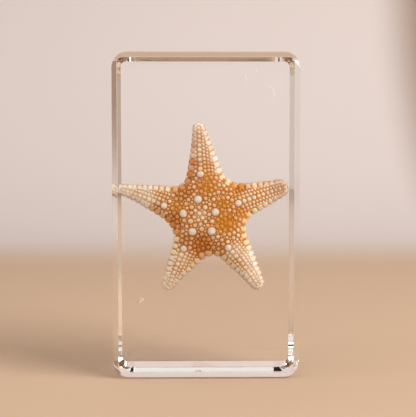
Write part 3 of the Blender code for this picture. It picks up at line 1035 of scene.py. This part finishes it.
# Hairline scratches just under the front face and one fibre deeper in: the points of each,
# x and z from the base's middle, with its depth behind the face and its radius
HAIRLINES = (
    (((19.5, 99.2), (20.7, 98.7), (21.5, 98.2), (22.0, 97.6), (22.6, 97.0), (22.8, 95.5),
      (22.9, 94.1)), 0.3, 0.1),
    (((12.6, 103.9), (13.4, 102.8), (13.1, 102.0), (13.5, 100.5), (14.2, 99.7), (14.1, 99.1)),
     0.3, 0.07),
    (((16.7, 104.0), (16.9, 103.4), (17.2, 102.8)), 0.3, 0.08),
    (((-22.6, 27.1), (-21.5, 26.9), (-21.1, 26.5), (-22.2, 25.9), (-23.0, 25.1)), 5.0, 0.08),
)
HAIRLINE_STEP = 0.25
HAIRLINE_SIDES = 6
HAIRLINE_TAPER = 0.8
# Strength of the painted glow that stands for the threads' glint
HAIRLINE_PAINTED_GLOW = 0.3
CRAZE_WHITE = "#FFFFFF"
CRAZE_SHADE = "#D9CBBE"


def hairline_mesh(name):
    """Thin closed threads that taper towards both ends."""
    mesh = bmesh.new()
    for points, depth, radius in HAIRLINES:
        line = walk(points, HAIRLINE_STEP)
        shares = np.linspace(-1.0, 1.0, len(line))
        rings = []
        for share, place, side in zip(shares, line, across_line(line)):
            thickness = radius * (1.0 - HAIRLINE_TAPER * share ** 2)
            ring = []
            for turn in range(HAIRLINE_SIDES):
                angle = 2 * math.pi * turn / HAIRLINE_SIDES
                x, z = place + side * thickness * math.cos(angle)
                y = BLOCK_LOW.y / MM + depth + thickness * math.sin(angle)
                ring.append(mesh.verts.new(Vector((x, y, z)) * MM))
            rings.append(ring)
        for ring, after in zip(rings, rings[1:]):
            for i in range(HAIRLINE_SIDES):
                j = (i + 1) % HAIRLINE_SIDES
                mesh.faces.new((ring[i], ring[j], after[j], after[i]))
        mesh.faces.new(rings[0])
        mesh.faces.new(rings[-1])
    bmesh.ops.recalc_face_normals(mesh, faces=mesh.faces)
    data = bpy.data.meshes.new(name)
    mesh.to_mesh(data)
    mesh.free()
    data.shade_smooth()
    return data


def hairline_material():
    """Resin crazed by scratches: white, broken threads that catch the light and glow faintly, a
    painted glint.
    """
    material, tree, shader, place = new_material("crazed_resin")
    breaks = add_node(tree, "ShaderNodeTexNoise", {
        "Vector": place, "Scale": 1 / (BREAK_SIZE * MM), "Detail": 2.0})
    colour = layered(tree, linear(CRAZE_WHITE), ((breaks.outputs["Fac"], linear(CRAZE_SHADE)),))
    fill_inputs(tree, shader, {
        "Base Color": colour,
        "Roughness": 0.6,
        # Painted glint: the threads glow faintly though they are no lamp
        "Emission Color": linear(CRAZE_WHITE),
        "Emission Strength": HAIRLINE_PAINTED_GLOW,
    })
    return material


def resin_material(settings):
    """Clear polyester casting resin, polished.

    It is as see-through as glass, throws hard bright lines along its edges, and has only a
    breath of warmth through its depth and faint waves and wipe marks on its faces.
    """
    material, tree, shader, place = new_material("cast_clear_resin")
    wipe = add_node(tree, "ShaderNodeTexNoise", {
        "Vector": place, "Scale": 1 / (WIPE_SIZE * MM), "Detail": 4.0, "Roughness": 0.65})
    rough = add_node(tree, "ShaderNodeMapRange", {
        "Value": wipe.outputs["Fac"],
        "From Min": 0.45, "From Max": 0.8, "To Min": 0.0, "To Max": 0.012})
    wave = add_node(tree, "ShaderNodeTexNoise", {
        "Vector": place, "Scale": 1 / (WAVE_SIZE * MM), "Detail": 1.0})
    bump = add_node(tree, "ShaderNodeBump", {
        "Height": wave.outputs["Fac"], "Strength": 0.1, "Distance": 0.1 * MM})
    fill_inputs(tree, shader, {
        "Base Color": linear(RESIN_CLEAR),
        "Roughness": rough.outputs["Result"],
        "Normal": bump.outputs["Normal"],
        "Transmission Weight": 1.0,
        "IOR": settings.refraction,
        "Metallic": 0.0,
    })
    depth = add_node(tree, "ShaderNodeVolumeAbsorption", {
        "Color": linear(settings.tint), "Density": RESIN_DENSITY})
    fill_inputs(tree, tree.nodes["Material Output"], {"Volume": depth.outputs["Volume"]})
    return material


class SPECIMEN_OT_resin_block(bpy.types.Operator):
    """Casts the clear block, in one piece, with bevelled edges, bubbles and hairlines"""

    bl_idname = "specimen.resin_block"
    bl_label = "Clear block"

    def execute(self, context):
        settings = context.scene.resin_settings
        corners, faces, face_normals = resin_shell(settings)
        balls, triangles = ball_form(BUBBLE_DETAIL)
        for x, y, z, radius in BUBBLES:
            start = len(corners)
            corners += [tuple(c) for c in (balls * radius + (x, y, z)) * MM]
            for triangle in triangles:
                faces.append([start + int(i) for i in triangle[::-1]])
                face_normals.append([tuple(-balls[i]) for i in triangle[::-1]])
        data = bpy.data.meshes.new("resin_block")
        data.from_pydata(corners, [], faces)
        data.validate()
        data.shade_smooth()
        data.normals_split_custom_set([n for normals in face_normals for n in normals])
        add_piece("resin_block", data, resin_material(settings),
                  ("resin_front", "resin_back"))
        add_piece("resin_hairlines", hairline_mesh("resin_hairlines"), hairline_material())
        return {"FINISHED"}


class SPECIMEN_OT_starfish_body(bpy.types.Operator):
    """Grows the starfish's skin, which shows between its beads"""

    bl_idname = "specimen.starfish_body"
    bl_label = "Starfish skin"

    def execute(self, context):
        ring = fine_outline(-SKIN_RIM)
        ring = walk(np.vstack([ring, ring[:1]]), SKIN_SPACING)[:-1]
        inner = grid_points(SKIN_SPACING)
        inner = inner[outline_distance(inner) < -SKIN_INNER]
        plane = np.vstack([ring, inner])
        edges = [(i, (i + 1) % len(ring)) for i in range(len(ring))]
        result = delaunay_2d_cdt([Vector(p) for p in plane], edges, [], 1, SKIN_TOLERANCE)
        if len(result[0]) != len(plane):
            raise RuntimeError("the starfish's outline crosses itself")
        triangles = np.array([tuple(face) for face in result[2]])
        front = np.column_stack([plane, body_height(plane) - SKIN_SINK])
        back = np.column_stack([plane, -back_depth(plane) + SKIN_SINK])
        count = len(plane)
        rim = np.arange(len(ring))
        after = np.roll(rim, -1)
        wall = np.vstack([
            np.column_stack([after, rim, rim + count]),
            np.column_stack([after, rim + count, after + count]),
        ])
        faces = np.vstack([triangles, triangles[:, ::-1] + count, wall])
        data = triangle_mesh("starfish_body", in_block(np.vstack([front, back])), faces)
        add_colour_fields(data, np.vstack([plane, plane]), np.zeros(2 * count), np.zeros(2 * count))
        add_piece("starfish_body", data, starfish_finish("tanned_starfish_skin"),
                  ("starfish",))
        return {"FINISHED"}


class SPECIMEN_OT_starfish_beads(bpy.types.Operator):
    """Sets the knobs, the rows of beads and the small beads between them on the front"""

    bl_idname = "specimen.starfish_beads"
    bl_label = "Knobs and beads"

    def execute(self, context):
        seed = context.scene.starfish_settings.seed
        knobs, rows, filling = plan_front(seed)
        rng = np.random.default_rng(seed + 1)
        chalk = starfish_finish("chalky_starfish_beads")
        knob_chalk = starfish_finish("chalky_starfish_knobs")
        for name, kept, finish in (
            ("starfish_knobs", knobs, knob_chalk),
            ("starfish_bead_rows", rows, chalk),
            ("starfish_small_beads", filling, chalk),
        ):
            if not len(kept):
                raise RuntimeError(f"no place was found for {name}")
            add_piece(name, bead_mesh(name, kept, 1, rng), finish)
        return {"FINISHED"}


class SPECIMEN_OT_edge_plates(bpy.types.Operator):
    """Lines the starfish's edge with an upper and a lower row of plates"""

    bl_idname = "specimen.edge_plates"
    bl_label = "Edge plates"

    def execute(self, context):
        rng = np.random.default_rng(context.scene.starfish_settings.seed + 2)
        finish = starfish_finish("chalky_edge_plates")
        for name, kind in (
            ("starfish_upper_plates", UPPER_PLATE),
            ("starfish_lower_plates", LOWER_PLATE),
        ):
            add_piece(name, plate_mesh(name, kind, rng), finish)
        return {"FINISHED"}


class SPECIMEN_OT_underside(bpy.types.Operator):
    """Paves the underside with small beads and lines its grooves with short spines"""

    bl_idname = "specimen.underside"
    bl_label = "Underside"

    def execute(self, context):
        rng = np.random.default_rng(context.scene.starfish_settings.seed + 3)
        finish = starfish_finish("chalky_starfish_beads")
        beads = bead_mesh("starfish_underside", plan_back(rng), -1, rng)
        add_piece("starfish_underside", beads, finish)
        spines = spine_mesh("starfish_groove_spines", rng)
        add_piece("starfish_groove_spines", spines, finish)
        return {"FINISHED"}


# Camera, in pixels of the picture and metres of the block
PICTURE_WIDTH = 416
SENSOR_WIDTH = 36.0
PIXELS_PER_METRE = 2985.0
CAMERA_X = -0.0037
CAMERA_Z = 0.079
AIM = (0.0007, -0.014, 0.0577)

# Sweep, in metres: a flat floor just under the block, a bend and an upright backdrop
FLOOR_DROP = 0.0003
SWEEP_FRONT = -1.6
SWEEP_BEND_START = 0.45
SWEEP_BEND_RADIUS = 0.35
SWEEP_BEND_STEPS = 16
SWEEP_TOP = 2.2
SWEEP_HALF_WIDTH = 1.4

# Depths between which the floor's colour turns to the backdrop's, then the painted shade that
# deepens its flanks: from and to across, from and to in depth, and colour
BACKDROP_FROM = 0.28
BACKDROP_TO = 0.5
PAINTED_FLANK_SHADES = (
    (0.12, 0.3, 0.25, 0.1, "#87705C"),
    (-0.12, -0.3, 0.25, 0.1, "#BDAA9B"),
    (0.19, 0.27, 0.4, 0.6, "#7C5F49"),
    (-0.21, -0.32, 0.4, 0.6, "#A28C7C"),
)

# Light from all round: its colour, the tones of its right and left with where each starts and
# is full, and how much of it is left near the horizon
SURROUNDINGS = "#F7F5F3"
SIDE_TONES = ((0.45, 0.85, "#C2A692"), (-0.45, -0.85, "#F4ECE6"))
OVERHEAD_FROM = 0.15
OVERHEAD_TO = 0.6
HORIZON_SHARE = 0.92

# Soft lights: place and size, both aimed a little below the block's middle
LAMPS = {
    "key": ((0.75, -0.45, 0.6), (0.7, 0.9)),
    "fill": ((-0.9, -0.3, 0.35), (0.3, 0.8)),
}
LAMP_AIM = (0.0, 0.0, 0.05)
LAMP_COLOUR = "#FFFDFA"
BOUNCES = 24


def sweep_material(settings):
    """Matt painted sweep.

    To the eye it is one soft sheet, a warm floor that turns to a paler backdrop, with painted
    shade deepening its tone towards its flanks.
    """
    material, tree, shader, place = new_material("painted_sweep")
    parts = add_node(tree, "ShaderNodeSeparateXYZ", {"Vector": place})
    share = add_node(tree, "ShaderNodeMapRange", {
        "Value": parts.outputs["Y"], "From Min": BACKDROP_FROM, "From Max": BACKDROP_TO},
        interpolation_type="SMOOTHSTEP")
    layers = [(share.outputs["Result"], linear(settings.backdrop_colour))]
    # Painted shade over the sweep's flanks
    for x_from, x_to, y_from, y_to, tone in PAINTED_FLANK_SHADES:
        flank = add_node(tree, "ShaderNodeMapRange", {
            "Value": parts.outputs["X"], "From Min": x_from, "From Max": x_to},
            interpolation_type="SMOOTHSTEP")
        share = add_node(tree, "ShaderNodeMapRange", {
            "Value": parts.outputs["Y"], "From Min": y_from, "From Max": y_to,
            "To Max": flank.outputs["Result"]}, interpolation_type="SMOOTHSTEP")
        layers.append((share.outputs["Result"], linear(tone)))
    colour = layered(tree, linear(settings.floor_colour), layers)
    fill_inputs(tree, shader, {"Base Color": colour, "Roughness": 0.7})
    return material


class SPECIMEN_OT_studio(bpy.types.Operator):
    """Sets up the floor and backdrop, the soft lights and the camera"""

    bl_idname = "specimen.studio"
    bl_label = "Studio"

    def execute(self, context):
        settings = context.scene.studio_settings
        self.make_sweep(context, settings)
        self.make_lights(context, settings)
        self.make_camera(context, settings)
        context.scene.view_settings.view_transform = "Standard"
        context.scene.cycles.max_bounces = BOUNCES
        context.scene.cycles.transmission_bounces = BOUNCES
        return {"FINISHED"}

    def make_sweep(self, context, settings):
        """Floor and backdrop in one sheet, curved where they meet."""
        profile = [(SWEEP_FRONT, 0.0), (SWEEP_BEND_START, 0.0)]
        for step in range(1, SWEEP_BEND_STEPS + 1):
            angle = math.radians(90) * step / SWEEP_BEND_STEPS
            profile.append((
                SWEEP_BEND_START + SWEEP_BEND_RADIUS * math.sin(angle),
                SWEEP_BEND_RADIUS * (1 - math.cos(angle))))
        profile.append((SWEEP_BEND_START + SWEEP_BEND_RADIUS, SWEEP_TOP))
        corners = [
            (x, y, z - FLOOR_DROP)
            for y, z in profile for x in (-SWEEP_HALF_WIDTH, SWEEP_HALF_WIDTH)
        ]
        faces = [(2 * i, 2 * i + 1, 2 * i + 3, 2 * i + 2) for i in range(len(profile) - 1)]
        data = bpy.data.meshes.new("studio_sweep")
        data.from_pydata(corners, [], faces)
        data.shade_smooth()
        data.materials.append(sweep_material(settings))
        sweep = bpy.data.objects.new("studio_sweep", data)
        context.scene.collection.objects.link(sweep)

    def make_lights(self, context, settings):
        world = bpy.data.worlds.new("studio_surroundings")
        context.scene.world = world
        world.use_nodes = True
        tree = world.node_tree
        direction = add_node(tree, "ShaderNodeTexCoord").outputs["Generated"]
        parts = add_node(tree, "ShaderNodeSeparateXYZ", {"Vector": direction})
        colour = linear(SURROUNDINGS)
        for low, high, tone in SIDE_TONES:
            share = add_node(tree, "ShaderNodeMapRange", {
                "Value": parts.outputs["X"], "From Min": low, "From Max": high},
                interpolation_type="SMOOTHSTEP")
            colour = layered(tree, colour, ((share.outputs["Result"], linear(tone)),))
        overhead = add_node(tree, "ShaderNodeMapRange", {
            "Value": parts.outputs["Z"], "From Min": OVERHEAD_FROM, "From Max": OVERHEAD_TO,
            "To Min": HORIZON_SHARE}, interpolation_type="SMOOTHSTEP")
        strength = add_node(tree, "ShaderNodeMath", {
            0: overhead.outputs["Result"], 1: settings.world_strength}, operation="MULTIPLY")
        fill_inputs(tree, tree.nodes["Background"], {
            "Color": colour, "Strength": strength.outputs["Value"]})
        for name, (place, size) in LAMPS.items():
            light = bpy.data.lights.new(name, "AREA")
            light.shape = "RECTANGLE"
            light.size, light.size_y = size
            light.energy = getattr(settings, f"{name}_power")
            light.color = linear(LAMP_COLOUR)[:3]
            thing = bpy.data.objects.new(name, light)
            thing.location = place
            gaze = Vector(LAMP_AIM) - Vector(place)
            thing.rotation_euler = gaze.to_track_quat("-Z", "Y").to_euler()
            context.scene.collection.objects.link(thing)

    def make_camera(self, context, settings):
        lens = bpy.data.cameras.new("camera")
        camera = bpy.data.objects.new("camera", lens)
        context.scene.collection.objects.link(camera)
        context.scene.camera = camera
        camera.location = (CAMERA_X, BLOCK_LOW.y - settings.camera_distance, CAMERA_Z)
        gaze = Vector(AIM) - camera.location
        camera.rotation_euler = gaze.to_track_quat("-Z", "Y").to_euler()
        lens.sensor_fit = "HORIZONTAL"
        lens.sensor_width = SENSOR_WIDTH
        lens.lens = SENSOR_WIDTH * PIXELS_PER_METRE * gaze.length / PICTURE_WIDTH


class SPECIMEN_PT_panel(bpy.types.Panel):
    bl_label = "Starfish in a resin block"
    bl_idname = "SPECIMEN_PT_panel"
    bl_space_type = "VIEW_3D"
    bl_region_type = "UI"
    bl_category = "Specimen"

    def draw(self, context):
        for owner, operators in PANEL:
            box = self.layout.box()
            settings = getattr(context.scene, owner)
            for name in settings.__annotations__:
                box.prop(settings, name)
            for operator in operators:
                box.operator(operator.bl_idname)


PANEL = (
    ("resin_settings", (SPECIMEN_OT_resin_block,)),
    ("starfish_settings", (SPECIMEN_OT_starfish_body, SPECIMEN_OT_starfish_beads,
                           SPECIMEN_OT_edge_plates, SPECIMEN_OT_underside)),
    ("studio_settings", (SPECIMEN_OT_studio,)),
)
SETTINGS = {
    "resin_settings": ResinSettings,
    "starfish_settings": StarfishSettings,
    "studio_settings": StudioSettings,
}
CLASSES = (
    *SETTINGS.values(),
    *(operator for _, operators in PANEL for operator in operators),
    SPECIMEN_PT_panel,
)


def register():
    for item in CLASSES:
        bpy.utils.register_class(item)
    for name, group in SETTINGS.items():
        setattr(bpy.types.Scene, name, PointerProperty(type=group))


def unregister():
    for name in SETTINGS:
        delattr(bpy.types.Scene, name)
    for item in reversed(CLASSES):
        bpy.utils.unregister_class(item)


def main():
    register()
    bpy.ops.specimen.resin_block()
    bpy.ops.specimen.starfish_body()
    bpy.ops.specimen.starfish_beads()
    bpy.ops.specimen.edge_plates()
    bpy.ops.specimen.underside()
    bpy.ops.specimen.studio()


if __name__ == "__main__":
    main()
